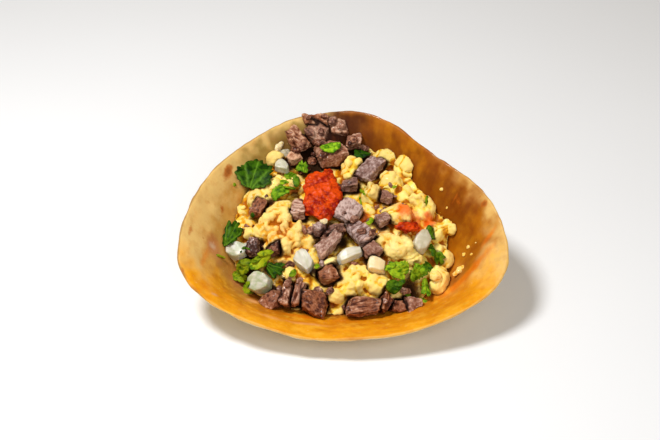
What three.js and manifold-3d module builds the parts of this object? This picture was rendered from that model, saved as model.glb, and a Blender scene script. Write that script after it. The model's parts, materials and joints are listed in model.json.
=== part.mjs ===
// An open breakfast taco: a flour tortilla cupped like a scoop, low at the front and high at the back,
// with a heap of scrambled egg, diced beef, onion, cilantro and red salsa in it.
// Millimetres, +Z up, the low front lip towards -Y. The tortilla's flat floor rests on z = 0.
import * as THREE from "three";
import { mergeVertices } from "three/addons/utils/BufferGeometryUtils.js";
import Module from "manifold-3d";

const wasm = await Module();
wasm.setup();

// The tortilla
const tortillaThickness = 2;
const rimHalfWidth = 81; // half the rim's width, at its widest line
const widestLine = -30; // y of that line
const frontDepth = 37.5; // from the widest line to the front lip
const backDepth = 97.5; // from the widest line to the back of the rim
const cupCentreY = -5; // y of the middle of the flat floor
const frontHeight = 12; // the rim's rise over the floor at the front lip
const backHeight = 52; // and at the back
const riseCurve = 2.37; // how late the rim climbs down towards the front
const foldAngle = -18; // degrees, where a low fold runs up the right wall
const foldHeight = 3.5;
const rimRipple = 0.6;
const tortillaSectors = 52;
const tortillaRings = 9;

// The heap
const heapCentre = { x: -2, y: 3 };
const heapDrift = 0.13; // how far the heap's middle moves left for each millimetre towards the back
const heapHalfWidth = 58;
const heapFrontDepth = 46;
const heapBackDepth = 60;
const ridgeHeight = 29; // height of the heap's back over the floor at y = 0
const ridgeSlope = 0.3; // how it climbs towards the back
const coreDrop = 3.2; // how far the bare egg core stays under the heap's surface
const touchGap = 0.3; // clearance between pieces that touch

// Fine sizes that several pieces share
const leafThickness = 0.9;
const leafPoints = 18;

const up = new THREE.Vector3(0, 0, 1);
const degrees = THREE.MathUtils.degToRad;

// ---- small helpers ----

function randomFrom(seed) {
  let state = seed * 7919 + 13;
  return () => {
    state = (state * 1103515245 + 12345) % 2147483648;
    return state / 2147483648;
  };
}

// A smooth hump of height 1 round an angle in degrees.
function bell(angle, centre, width) {
  const away = ((THREE.MathUtils.radToDeg(angle) - centre + 540) % 360) - 180;
  return Math.exp(-((away / width) ** 2));
}

function mergedOf(geometry) {
  geometry.deleteAttribute("normal");
  geometry.deleteAttribute("uv");
  return mergeVertices(geometry, 1e-4);
}

function moveVertices(geometry, mover) {
  const places = geometry.getAttribute("position");
  const point = new THREE.Vector3();
  for (let i = 0; i < places.count; i++) {
    point.fromBufferAttribute(places, i);
    mover(point);
    places.setXYZ(i, point.x, point.y, point.z);
  }
  return geometry;
}

function solidFrom(geometry) {
  const vertProperties = new Float32Array(geometry.getAttribute("position").array);
  const triVerts = new Uint32Array(geometry.index.array);
  return new wasm.Manifold(new wasm.Mesh({ numProp: 3, vertProperties, triVerts }));
}

function geometryFrom(solid) {
  const mesh = solid.getMesh();
  return new THREE.BufferGeometry()
    .setAttribute("position", new THREE.BufferAttribute(new Float32Array(mesh.vertProperties), 3))
    .setIndex(new THREE.BufferAttribute(new Uint32Array(mesh.triVerts), 1));
}

function largestBody(solid) {
  return solid.decompose().reduce((most, body) => (body.volume() > most.volume() ? body : most));
}

// A profile of (share of the radius, level) turned round z, axis to axis.
function turned(profile, sectors) {
  const points = profile.map(([share, level]) => new THREE.Vector2(share, level));
  const geometry = new THREE.LatheGeometry(points, sectors);
  geometry.rotateX(Math.PI / 2);
  return mergedOf(geometry);
}

// ---- the tortilla's form ----

// Distance from the cup's centre to a rim of two half ellipses that meet on the widest line.
function ovalDistance(angle) {
  const dx = Math.cos(angle);
  const dy = Math.sin(angle);
  const lead = cupCentreY - widestLine;
  for (const depth of [frontDepth, backDepth]) {
    const a = (dx / rimHalfWidth) ** 2 + (dy / depth) ** 2;
    const b = (2 * lead * dy) / depth ** 2;
    const c = (lead / depth) ** 2 - 1;
    const root = b * b - 4 * a * c;
    const distance = (-b + Math.sqrt(Math.max(root, 0))) / (2 * a);
    const inFront = lead + distance * dy < 0;
    if (root > 0 && distance > 0 && inFront === (depth === frontDepth)) return distance;
  }
  return rimHalfWidth;
}

// The rim is pulled in at the right and left of the back, and swells a little at the front.
function rimRadius(angle) {
  const pulledIn = 16 * bell(angle, 37, 35) + 4 * bell(angle, 142, 55);
  return ovalDistance(angle) - pulledIn + 1.5 * bell(angle, -90, 50);
}

function rimRise(angle) {
  const y = cupCentreY + rimRadius(angle) * Math.sin(angle);
  const backY = widestLine + backDepth;
  const forward = THREE.MathUtils.clamp((backY - y) / (frontDepth + backDepth), 0, 1);
  return backHeight - (backHeight - frontHeight) * forward ** riseCurve - 4.5 * bell(angle, 150, 32);
}

// Share of the radius that lies flat on the table.
function floorShare(angle) {
  const across = Math.cos(angle);
  return 0.485 + 0.065 * Math.sin(angle) + 0.08 * across ** 2 + 0.05 * across;
}

// The wall starts level, is steepest past its middle and flares at the rim, most on the right.
function wallProfile(t, angle) {
  const flare = Math.PI * (0.8 + 0.16 * bell(angle, -10, 28));
  return (1 - Math.cos(flare * t)) / (1 - Math.cos(flare));
}

function innerRise(share, angle) {
  const flat = floorShare(angle);
  const t = Math.max(0, (share - flat) / (1 - flat));
  const ripple = rimRipple * Math.sin(5 * angle + 0.6) + 0.4 * Math.sin(9 * angle + 2);
  const fold = foldHeight * bell(angle, foldAngle, 8) * Math.sin(Math.PI * Math.min(1, t * 1.1));
  return rimRise(angle) * wallProfile(t, angle) + ripple * t * t + fold;
}

function middlePoint(share, angle) {
  const radius = rimRadius(angle) * share;
  const z = tortillaThickness / 2 + innerRise(share, angle);
  return new THREE.Vector3(radius * Math.cos(angle), cupCentreY + radius * Math.sin(angle), z);
}

// A point of the bent tortilla, set off from its middle sheet along the sheet's normal.
function tortillaPoint(share, angle, offset) {
  const place = middlePoint(share, angle);
  const normal = up.clone();
  if (share > 0.1) {
    const along = middlePoint(share + 0.004, angle).sub(middlePoint(share - 0.004, angle));
    const round = middlePoint(share, angle + 0.01).sub(middlePoint(share, angle - 0.01));
    normal.crossVectors(along, round).normalize();
  }
  return place.addScaledVector(normal, offset);
}

function ringShares() {
  const shares = [];
  for (let i = 0; i <= tortillaRings; i++) shares.push(0.985 * (i / tortillaRings) ** 0.72);
  return shares;
}

function tortillaSolid() {
  const half = tortillaThickness / 2;
  const underside = ringShares().map((share) => [share, -half]);
  const edge = [
    [0.995, -half * 0.7],
    [1, 0],
    [0.995, half * 0.7],
  ];
  const topside = ringShares().map((share) => [share, half]);
  const flatTortilla = turned([...underside, ...edge, ...topside.reverse()], tortillaSectors);
  const bent = moveVertices(flatTortilla, (point) => {
    const share = Math.hypot(point.x, point.y);
    point.copy(tortillaPoint(share, Math.atan2(point.y, point.x), point.z));
  });
  return solidFrom(bent);
}

// The room over the tortilla's inner face, which everything in it is trimmed to.
function roomInTortilla(sectors) {
  const ceiling = 90;
  const inside = tortillaThickness / 2 + touchGap + 0.05;
  const floorRow = ringShares().map((share) => [share, 0]);
  const flatRoom = turned([...floorRow, [1, 0], [1, 1], [0, 1]], sectors);
  const bent = moveVertices(flatRoom, (point) => {
    const share = Math.hypot(point.x, point.y);
    const inner = tortillaPoint(share, Math.atan2(point.y, point.x), inside);
    point.set(inner.x, inner.y, point.z > 0.5 ? ceiling : inner.z);
  });
  return solidFrom(bent);
}

// ---- the heap's form ----

// Height of the tortilla's inner face over a place on the table.
function innerFace(x, y) {
  const angle = Math.atan2(y - cupCentreY, x);
  const share = Math.hypot(x, y - cupCentreY) / rimRadius(angle);
  return tortillaThickness + innerRise(Math.min(share, 1), angle);
}

function heapMiddle(y) {
  return heapCentre.x - heapDrift * Math.max(0, y - heapCentre.y);
}

// Height of the heap's surface: highest along its ridge, down to the tortilla at its outline.
function heapSurface(x, y) {
  const inner = innerFace(x, y);
  const depth = y < heapCentre.y ? heapFrontDepth : heapBackDepth;
  const spread = ((x - heapMiddle(y)) / heapHalfWidth) ** 2 + ((y - heapCentre.y) / depth) ** 2;
  const ridge = ridgeHeight + ridgeSlope * y - 3 * (Math.min(y, 0) / 45) ** 2;
  return inner + touchGap + Math.max(0, ridge - inner) * Math.sqrt(Math.max(0, 1 - spread ** 2));
}

// Where a piece lies: on the heap at (x, y), raised by lift, tipped with the slope by its share,
// turned by heading and then leaned over its own length, in degrees.
function layOn({ at: [x, y], lift = 0, heading = 0, lean = 0, slope = 0.8 }) {
  const step = 3;
  const limit = 0.9;
  const riseX = (heapSurface(x + step, y) - heapSurface(x - step, y)) / (2 * step);
  const riseY = (heapSurface(x, y + step) - heapSurface(x, y - step)) / (2 * step);
  const tipX = THREE.MathUtils.clamp(riseX, -limit, limit) * slope;
  const tipY = THREE.MathUtils.clamp(riseY, -limit, limit) * slope;
  const outward = new THREE.Vector3(-tipX, -tipY, 1).normalize();
  const turn = new THREE.Quaternion().setFromUnitVectors(up, outward);
  turn.multiply(new THREE.Quaternion().setFromAxisAngle(up, degrees(heading)));
  turn.multiply(new THREE.Quaternion().setFromAxisAngle(new THREE.Vector3(1, 0, 0), degrees(lean)));
  const place = new THREE.Vector3(x, y, heapSurface(x, y) + lift);
  return new THREE.Matrix4().compose(place, turn, new THREE.Vector3(1, 1, 1));
}

// ---- shapes of the toppings, each about its own centre, grown by a clearance where asked ----

// A cooked dice of beef: a rounded block, uneven, tapered and leaning as a hand-cut one is.
function beefShape({ size: [length, width, height] }, seed, grow) {
  const random = randomFrom(seed);
  const taper = 0.5 * (random() - 0.5);
  const wedge = 0.4 * (random() - 0.5);
  const lean = 0.5 * (random() - 0.5);
  const block = mergedOf(new THREE.BoxGeometry(2, 2, 2, 2, 2, 2));
  return moveVertices(block, (point) => {
    const reach = (point.x ** 6 + point.y ** 6 + point.z ** 6) ** (1 / 6);
    point.multiplyScalar((0.93 + 0.18 * random()) / reach);
    const { x, y, z } = point;
    point.x = (x + lean * y * 0.8) * (length / 2 + grow);
    point.y = y * (1 + taper * x) * (width / 2 + grow);
    point.z = z * (1 + wedge * x) * (height / 2 + grow);
  });
}

// A dice of onion: a piece of a curved layer with slanting cut sides.
function onionShape({ size: [length, width, height] }, seed, grow) {
  const random = randomFrom(seed);
  const taper = 0.6 + 0.3 * random();
  const skew = 0.5 * (random() - 0.5);
  const corner = 0.1 + 0.15 * random();
  const block = mergedOf(new THREE.BoxGeometry(2, 2, 2, 3, 2, 1));
  return moveVertices(block, (point) => {
    const { x, y, z } = point;
    const narrow = x > 0 ? 1 - (1 - taper) * x : 1;
    const cut = 1 - corner * Math.abs(x * y) - 0.1 * (z + 1) * random();
    point.x = (x + skew * y) * cut * (length / 2 + grow);
    point.y = y * narrow * cut * (width / 2 + grow);
    point.z = z * (height / 2 + grow) + 0.22 * height * (1 - x * x);
  });
}

// A cilantro leaf: a thin lobed blade, waved along its edge.
function leafShape({ size: [length, width], lobes = 3, wave = 1.6 }, seed, grow) {
  const random = randomFrom(seed);
  const phase = random() * Math.PI * 2;
  const blade = new THREE.CylinderGeometry(1, 1, 1, leafPoints, 1);
  blade.rotateX(Math.PI / 2);
  return moveVertices(mergedOf(blade), (point) => {
    const angle = Math.atan2(point.y, point.x);
    const reach = Math.hypot(point.x, point.y);
    const lobe = 0.84 + 0.16 * Math.cos(lobes * angle + phase);
    const rise = wave * reach * Math.sin(2 * angle + phase) + 0.5 * wave * (1 - reach);
    point.x *= lobe * (length / 2) + grow;
    point.y *= lobe * (width / 2) + grow;
    point.z = point.z * (leafThickness + 2 * grow) + rise;
  });
}

// A spoonful of chopped salsa: a flat mound with a lumpy outline.
function salsaShape({ size: [length, width, height] }, seed, grow) {
  const random = randomFrom(seed);
  const phase = random() * Math.PI * 2;
  const mound = mergedOf(new THREE.IcosahedronGeometry(1, 2));
  return moveVertices(mound, (point) => {
    const angle = Math.atan2(point.y, point.x);
    const fuller = (point.x ** 4 + point.y ** 4 + point.z ** 4) ** -0.12;
    const lump = (1 + 0.1 * Math.sin(5 * angle + phase) + 0.12 * (random() - 0.5)) * fuller;
    point.x *= (length / 2) * lump + grow;
    point.y *= (width / 2) * lump + grow;
    point.z *= (height / 2) * lump + grow;
  });
}

// A soft curd of egg: an uneven ellipsoid.
function curdShape({ size: [length, width, height], fine = 1 }, seed) {
  const random = randomFrom(seed);
  const curd = mergedOf(new THREE.IcosahedronGeometry(1, fine));
  return moveVertices(curd, (point) => {
    const lump = 0.94 + 0.14 * random();
    point.x *= (length / 2) * lump;
    point.y *= (width / 2) * lump;
    point.z *= (height / 2) * lump;
  });
}

// ---- what lies on the heap ----

const beefPieces = [
  { at: [2.5, 5], size: [14, 13, 7], heading: 60, lift: 1 },
  { at: [8, -7], size: [15, 9, 7], heading: -52, lift: 0.5 },
  { at: [-6, 44], size: [16, 14, 12], heading: 15, lift: -1 },
  { at: [14, 33], size: [18, 9, 7], heading: 58, lift: 1 },
  { at: [3.5, 22], size: [9, 6, 6], heading: 10 },
  { at: [22, 15], size: [7, 5.5, 5], heading: -20, lift: 0.5 },
  { at: [-14, 56], size: [12, 10, 9], heading: -20 },
  { at: [-2, 58.5], size: [9, 8, 9], heading: 0, lift: 0.5 },
  { at: [-15, 60], size: [13.5, 7, 6.5], heading: 8, lift: 0.2 },
  { at: [5.5, 52], size: [8.5, 7, 6.5], heading: 10, lift: 0.6 },
  { at: [-24, 51.5], size: [15, 8, 8], heading: -45 },
  { at: [-25, 41], size: [8, 7, 6], heading: 30 },
  { at: [-22, 7], size: [11, 7.5, 7], heading: 80 },
  { at: [-11.5, -4.5], size: [8, 6.5, 6], heading: 20 },
  { at: [-4.5, -5.5], size: [11, 5.5, 6], heading: 5, lift: -0.5 },
  { at: [-7, -13.5], size: [17, 7, 6], heading: 46, lift: 1 },
  { at: [19.5, 1.5], size: [7, 6.5, 6], heading: 25 },
  { at: [14, -16.5], size: [8.5, 7.5, 7], heading: 35, lift: 0.5 },
  { at: [-7, -28], size: [9.5, 8, 7], heading: 20 },
  { at: [-44, -11], size: [9, 6.5, 7], heading: 75, lift: 0.5 },
  { at: [-42, 10], size: [10, 7, 6], heading: 62, lift: 0.5 },
  { at: [-34, -14], size: [7, 5.5, 5], heading: 15 },
  { at: [-33.5, -34.5], size: [11, 9, 10], heading: 35, lift: -0.5 },
  { at: [-27, -34], size: [12, 5, 9], heading: 78 },
  { at: [-21.5, -35], size: [12, 4.5, 9], heading: 72 },
  { at: [-14, -38.5], size: [13, 12, 11], heading: -18, lift: -1 },
  { at: [9.7, -40], size: [17, 9, 12], heading: 4, lift: -0.5 },
  { at: [20, -37], size: [9, 7, 9], heading: 60, lift: -1 },
  { at: [26, -36.5], size: [7.5, 6, 7], heading: 20, lift: -0.5 },
  { at: [34, -33.5], size: [10, 8, 8], heading: 12, lift: 0.5 },
];

const onionPieces = [
  { at: [-52, -10.5], size: [12, 11, 4.5], heading: 10, lift: 1 },
  { at: [-41, -27], size: [13, 12, 5.5], heading: -35, lift: 1 },
  { at: [-19, -21.5], size: [12, 9, 4.5], heading: -48, lift: 0.8 },
  { at: [3.5, -19], size: [14, 6.5, 4.5], heading: 22, lift: 0.8 },
  { at: [16.5, -23.5], size: [9.5, 8, 4.5], heading: -15, lift: 0.8 },
  { at: [39, -8.5], size: [14, 9, 4.5], heading: 72, lift: 1.2 },
  { at: [-31, 34.5], size: [8.5, 7, 4.5], heading: -30, lift: 0.8 },
];

const leafPieces = [
  { at: [-45.3, 28.5], size: [21, 21.5], lobes: 3, wave: 1.8, lift: 3 },
  { at: [-31, 17.5], size: [14, 10], lobes: 2, wave: 2, heading: 15, lift: 1.5 },
  { at: [-21, 33], size: [7, 11], lobes: 2, wave: 1.4, heading: 10, lift: 1.5 },
  { at: [-7, 42.5], size: [13, 8.5], lobes: 1, wave: 0.9, heading: 12, lift: 6.2 },
  { at: [10.8, 44.5], size: [10.5, 6.5], lobes: 1, wave: 1, heading: 8, lift: 1 },
  { at: [43.3, -4], size: [8, 12], lobes: 2, wave: 2.2, heading: 20, lift: 2 },
  { at: [26, -25], size: [13, 10.5], lobes: 3, wave: 1.6, heading: 5, lift: 2 },
  { at: [37.5, -22.5], size: [10, 9.5], lobes: 3, wave: 1.6, heading: 30, lift: 2.4 },
  { at: [40.5, -27], size: [7, 10], lobes: 2, wave: 1.2, heading: 20, lift: 2 },
  { at: [46, -13], size: [11, 8.5], lobes: 2, wave: 1.8, heading: -30, lift: 2.2 },
  { at: [24.5, -32], size: [9.5, 7.5], lobes: 1, wave: 1, heading: -10, lift: 3 },
  { at: [-55, -3.5], size: [13, 15], lobes: 2, wave: 2, heading: -25, lift: 2.5 },
  { at: [-52, -20], size: [11, 7.5], lobes: 2, wave: 1.5, heading: -10, lift: 1.2 },
  { at: [-41.5, -18.5], size: [14, 8], lobes: 1, wave: 1.2, heading: 20, lift: 1.4 },
  { at: [-33, -25], size: [9.5, 8], lobes: 3, wave: 1.4, heading: -40, lift: 1.6 },
  { at: [-48.5, -19.5], size: [9, 8], lobes: 1, wave: 1, heading: 15, lift: 1.4 },
];

const salsaPieces = [
  { at: [-10.5, 15], size: [19, 32, 8], heading: 0, lift: 0.8 },
  { at: [32, -2], size: [12, 6, 4], heading: 5, lift: 0.6 },
];

// Curds that show, from the back to the front.
const curds = [
  { at: [22, 44], size: [15, 14, 11] },
  { at: [33, 36], size: [15, 17, 13], fine: 2 },
  { at: [3.5, 33.5], size: [10, 15, 9] },
  { at: [24, 25], size: [11, 11, 8] },
  { at: [30, 18], size: [8, 12, 8] },
  { at: [40, 13], size: [15, 22, 13], fine: 2, heading: -8 },
  { at: [14.5, 18], size: [9, 11, 8] },
  { at: [25, 6], size: [13, 11, 8] },
  { at: [46, 2.5], size: [15, 12, 12], heading: 20 },
  { at: [54, 4], size: [11, 11, 11] },
  { at: [49, -8], size: [15, 12, 11], heading: -30 },
  { at: [47, -20], size: [11, 16, 11], lift: 1 },
  { at: [26, -13], size: [14, 13, 9] },
  { at: [20, -8.5], size: [14, 9, 8] },
  { at: [33, -15], size: [13, 10, 8] },
  { at: [-41.5, 18.5], size: [17, 18, 11], heading: 25 },
  { at: [-34, 26], size: [10, 11, 8] },
  { at: [-35, 41], size: [10, 9, 8], lift: -1 },
  { at: [-31, 8], size: [17, 16, 10], fine: 2 },
  { at: [-38, -1], size: [14, 14, 9] },
  { at: [-24, -5], size: [15, 15, 9] },
  { at: [-31, -10], size: [16, 12, 9] },
  { at: [-47, -1], size: [8, 8, 7] },
  { at: [-26.5, -26], size: [9, 10, 8] },
  { at: [-6, -22.5], size: [14, 9, 8] },
  { at: [-13, -25], size: [9, 8, 7] },
  { at: [3.5, -30], size: [15, 14, 10] },
  { at: [-4, -35], size: [10, 9, 8] },
  { at: [17, -29.5], size: [14, 11, 9] },
  { at: [8, -25], size: [12, 8, 7] },
];

// ---- building ----

// The bare core of egg: a lump between the tortilla and the heap's surface.
function eggCore() {
  const shares = [0, 0.3, 0.55, 0.75, 0.88, 0.96];
  const profile = [[0, -1], [1, -1], [1, 0], ...shares.reverse().map((share) => [share, 1])];
  const flatCore = turned(profile, 32);
  const lump = moveVertices(flatCore, (point) => {
    const y = heapCentre.y + point.y * (point.y < 0 ? heapFrontDepth : heapBackDepth);
    const x = heapMiddle(y) + point.x * heapHalfWidth;
    const bump = 0.9 * Math.sin(x * 0.31 + 1) * Math.cos(y * 0.27);
    const top = Math.max(heapSurface(x, y) - coreDrop + bump, 0.5);
    point.set(x, y, point.z > 0.5 ? top : point.z < -0.5 ? -3 : -1);
  });
  return solidFrom(lump);
}

const looks = {
  tortilla: { color: "#d9a04a", roughness: 0.6 },
  beef: { color: "#6f4a44", roughness: 0.55 },
  onion: { color: "#e6e6da", roughness: 0.35 },
  cilantro: { color: "#3f8a2c", roughness: 0.45 },
  salsa: { color: "#d8431a", roughness: 0.35 },
  egg: { color: "#f4cf5a", roughness: 0.5 },
};

function finish(name) {
  return new THREE.MeshStandardMaterial({ ...looks[name], metalness: 0 });
}

function namedMesh(name, geometry, look) {
  const mesh = new THREE.Mesh(geometry, finish(look));
  mesh.name = name;
  return mesh;
}

// A mesh whose cut solid is put back into the piece's own frame and placed from there.
function placedMesh(name, solid, placement, look) {
  const geometry = geometryFrom(solid).applyMatrix4(placement.clone().invert());
  const mesh = namedMesh(name, geometry, look);
  mesh.applyMatrix4(placement);
  return mesh;
}

function placedSolid(shape, placement) {
  return solidFrom(shape.applyMatrix4(placement));
}

const room = roomInTortilla(tortillaSectors);

// Toppings in the order in which they keep their full form: leaves on top, then salsa, onion and beef.
const kinds = [
  { name: "cilantro", pieces: leafPieces, shape: leafShape },
  { name: "salsa", pieces: salsaPieces, shape: salsaShape },
  { name: "onion", pieces: onionPieces, shape: onionShape },
  { name: "beef", pieces: beefPieces, shape: beefShape },
];

const taken = []; // the grown forms of the pieces placed so far, with their boxes
const filling = new THREE.Group();

for (const { name, pieces, shape } of kinds) {
  const group = new THREE.Group();
  pieces.forEach((piece, index) => {
    const seed = index + 1 + 40 * name.length;
    const placement = layOn(piece);
    const grownShape = shape(piece, seed, touchGap).applyMatrix4(placement);
    grownShape.computeBoundingBox();
    const box = grownShape.boundingBox;
    let solid = placedSolid(shape(piece, seed, 0), placement).intersect(room);
    for (const other of taken) {
      if (box.intersectsBox(other.box)) solid = solid.subtract(other.solid);
    }
    const number = String(index + 1).padStart(2, "0");
    group.add(placedMesh(`${name}_${number}`, largestBody(solid), placement, name));
    taken.push({ box, solid: solidFrom(grownShape) });
  });
  filling.add(group);
}

let egg = eggCore();
curds.forEach((curd, index) => {
  const placement = layOn({ lift: -0.25 * curd.size[2], ...curd });
  egg = egg.add(placedSolid(curdShape(curd, index + 300), placement));
});
egg = egg.intersect(roomInTortilla(tortillaSectors / 2)); // coarser, because its underside is hidden
for (const other of taken) egg = egg.subtract(other.solid);
filling.add(namedMesh("scrambled_egg", geometryFrom(largestBody(egg)), "egg"));

const cup = new THREE.Group();
cup.add(namedMesh("tortilla", geometryFrom(tortillaSolid()), "tortilla"));
cup.add(filling);

// The origin is under the middle of the whole taco, on the surface that it rests on.
const outline = new THREE.Box3().setFromObject(cup, true);
cup.position.set(-(outline.min.x + outline.max.x) / 2, -(outline.min.y + outline.max.y) / 2, 0);

const taco = new THREE.Group();
taco.name = "taco";
taco.add(cup);

export default taco;
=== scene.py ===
import json
import math
import random

import bpy
import numpy as np
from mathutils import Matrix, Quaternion, Vector, noise
from mathutils.bvhtree import BVHTree

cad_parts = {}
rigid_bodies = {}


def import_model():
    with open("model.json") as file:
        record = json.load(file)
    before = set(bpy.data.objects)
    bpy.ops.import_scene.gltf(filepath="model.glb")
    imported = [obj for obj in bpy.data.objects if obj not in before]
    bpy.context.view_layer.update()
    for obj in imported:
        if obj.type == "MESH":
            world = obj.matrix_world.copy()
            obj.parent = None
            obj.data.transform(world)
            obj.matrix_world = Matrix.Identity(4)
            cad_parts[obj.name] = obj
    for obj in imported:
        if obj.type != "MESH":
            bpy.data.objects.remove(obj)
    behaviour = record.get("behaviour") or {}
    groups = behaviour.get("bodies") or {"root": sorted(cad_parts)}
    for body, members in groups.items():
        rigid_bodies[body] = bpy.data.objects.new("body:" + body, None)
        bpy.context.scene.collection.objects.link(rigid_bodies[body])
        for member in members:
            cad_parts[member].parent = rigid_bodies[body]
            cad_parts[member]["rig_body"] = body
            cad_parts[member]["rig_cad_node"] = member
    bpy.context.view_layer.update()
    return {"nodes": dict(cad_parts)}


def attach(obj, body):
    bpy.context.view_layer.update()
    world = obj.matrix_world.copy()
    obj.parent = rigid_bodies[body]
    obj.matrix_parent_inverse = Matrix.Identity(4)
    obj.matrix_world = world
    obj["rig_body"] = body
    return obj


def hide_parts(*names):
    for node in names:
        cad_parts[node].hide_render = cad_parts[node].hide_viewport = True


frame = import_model()
nodes = frame["nodes"]
mm = 0.001  # the frame is in metres, and every size below is in millimetres
cupShift = (0.04, 2.25)  # places of spots, stains and bits are given from here
mergeWithin = 0.01  # corners of a CAD node closer than this are one
bpy.ops.object.select_all(action="DESELECT")
noise.seed_set(40)  # noise_vector is shifted by the clock without it

cameraSettings = {
    "target": (0.04, 2.25, 20),
    "elevation": 38,
    "distance": 700,
    "lens": 76.4,
    "shift": (-0.0197, 0.0248),
}

lightSettings = {
    "keyPlace": (-260, -60, 640),
    "keySize": 170,
    "keyPower": 4.0,
    "fillPlace": (250, -560, 520),
    "fillSize": 500,
    "fillPower": 1.7,
    "worldColour": (255, 242, 224),
    "worldStrength": 0.3,
    "floorHalf": 3000,
    "floorDrop": 0.02,
    "floorColours": ((238, 240, 243), (243, 245, 248)),
    "floorRoughness": 0.7,
    "cloudSize": 180,
    "bumpDepth": 0.05,
    "shine": 0.5,
    "softLight": (0, (1, 1, 1), 1),
}


def srgb(red, green, blue):
    # a colour as it is seen on a screen, made linear for the shaders
    def linear(level):
        level = level / 255
        return level / 12.92 if level <= 0.04045 else ((level + 0.055) / 1.055) ** 2.4

    return (linear(red), linear(green), linear(blue), 1.0)


class Wire:
    # a socket that shader maths can be written with
    def __init__(self, look, socket):
        self.look = look
        self.socket = socket

    def maths(self, operation, first, second):
        return self.look.add("ShaderNodeMath", {"operation": operation}, {0: first, 1: second})

    def __add__(self, other):
        return self.maths("ADD", self, other)

    def __radd__(self, other):
        return self.maths("ADD", other, self)

    def __sub__(self, other):
        return self.maths("SUBTRACT", self, other)

    def __rsub__(self, other):
        return self.maths("SUBTRACT", other, self)

    def __mul__(self, other):
        return self.maths("MULTIPLY", self, other)

    def __rmul__(self, other):
        return self.maths("MULTIPLY", other, self)


class Look:
    # one material and the few kinds of node that the food is painted with
    def __init__(self, name):
        self.material = bpy.data.materials.new(name)
        self.material.use_nodes = True
        self.tree = self.material.node_tree
        self.tree.nodes.clear()
        here = self.add("ShaderNodeTexCoord", {}, {}, "Object")
        self.place = self.scaled(here, 1 / mm)

    def add(self, kind, settings, sockets, output=0):
        node = self.tree.nodes.new(kind)
        for name, value in settings.items():
            setattr(node, name, value)
        for name, value in sockets.items():
            if isinstance(value, Wire):
                self.tree.links.new(value.socket, node.inputs[name])
            else:
                node.inputs[name].default_value = value
        return Wire(self, node.outputs[output])

    def scaled(self, vector, factor):
        return self.add("ShaderNodeVectorMath", {"operation": "SCALE"}, {0: vector, "Scale": factor})

    def value(self, name, output="Fac"):
        return self.add("ShaderNodeAttribute", {"attribute_name": name}, {}, output)

    def values(self, *names):
        return [self.value(name) for name in names]

    def noise(self, size, detail=3.0, roughness=0.5, place=None, warp=0.0):
        sockets = {"Vector": place or self.place, "Scale": 1 / size, "Detail": detail}
        sockets.update({"Roughness": roughness, "Distortion": warp})
        return self.add("ShaderNodeTexNoise", {}, sockets)

    def step(self, value, low, high):
        sockets = {"Value": value, "From Min": low, "From Max": high}
        return self.add("ShaderNodeMapRange", {"interpolation_type": "SMOOTHSTEP"}, sockets)

    def mix(self, first, second, share, blend="MIX"):
        settings = {"data_type": "RGBA", "blend_type": blend}
        return self.add("ShaderNodeMix", settings, {0: share, 6: first, 7: second}, 2)

    def layers(self, colour, *coats):
        # each coat is a colour, its share and, where it isn't plainly laid on, how it blends
        for tint, *how in coats:
            colour = self.mix(colour, srgb(*tint), *how)
        return colour

    def stretched(self, vector, scale):
        return self.add("ShaderNodeMapping", {}, {"Vector": vector, "Scale": scale})

    def finish(self, colour, roughness, relief, coat, settings):
        # bumpDepth is in mm, and softLight is how light goes in: its share, colours and reach in mm
        depth = settings["bumpDepth"] * mm
        bump = self.add("ShaderNodeBump", {}, {"Height": relief, "Strength": 1.0, "Distance": depth})
        share, tint, reach = settings["softLight"]
        shader = self.add("ShaderNodeBsdfPrincipled", {}, {
            "Base Color": colour,
            "Roughness": roughness,
            "Normal": bump,
            "Coat Weight": coat,
            "Specular IOR Level": settings["shine"],
            "Subsurface Weight": share,
            "Subsurface Radius": tint,
            "Subsurface Scale": reach * mm,
        })
        output = self.tree.nodes.new("ShaderNodeOutputMaterial")
        self.tree.links.new(shader.socket, output.inputs["Surface"])
        return self.material


def selectOnly(*pieces):
    bpy.ops.object.select_all(action="DESELECT")
    for piece in pieces:
        piece.select_set(True)
    bpy.context.view_layer.objects.active = pieces[0]


def useModifier(piece, kind, **settings):
    selectOnly(piece)
    modifier = piece.modifiers.new(kind.title(), kind)
    for name, value in settings.items():
        setattr(modifier, name, value)
    bpy.ops.object.modifier_apply(modifier=modifier.name)


def copyOfNode(nodeName, pieceName):
    # a free, merged copy of a CAD node, which is worked into the piece that shows
    selectOnly(nodes[nodeName])
    bpy.ops.object.duplicate()
    piece = bpy.context.object
    bpy.ops.object.parent_clear(type="CLEAR_KEEP_TRANSFORM")
    piece.name = pieceName
    piece.data.name = pieceName
    piece.data.materials.clear()
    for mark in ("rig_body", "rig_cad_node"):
        del piece[mark]
    bpy.ops.object.mode_set(mode="EDIT")
    bpy.ops.mesh.select_all(action="SELECT")
    bpy.ops.mesh.remove_doubles(threshold=mergeWithin * mm)
    bpy.ops.object.mode_set(mode="OBJECT")
    if piece.data.has_custom_normals:
        bpy.ops.mesh.customdata_custom_splitnormals_clear()
    return piece


def remeshed(piece, settings):
    useModifier(piece, "REMESH", mode="VOXEL", voxel_size=settings["voxel"] * mm)
    useModifier(piece, "SMOOTH", factor=0.5, iterations=settings["smoothing"])


def places(piece):
    flat = np.empty(len(piece.data.vertices) * 3)
    piece.data.vertices.foreach_get("co", flat)
    return flat.reshape(-1, 3) / mm


def setPlaces(piece, points):
    piece.data.vertices.foreach_set("co", (np.asarray(points) * mm).ravel())
    piece.data.update()


def normals(piece):
    flat = np.empty(len(piece.data.vertices) * 3)
    piece.data.vertices.foreach_get("normal", flat)
    return flat.reshape(-1, 3)


def raiseSkin(piece, heights):
    setPlaces(piece, places(piece) + normals(piece) * np.asarray(heights)[:, None])


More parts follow.
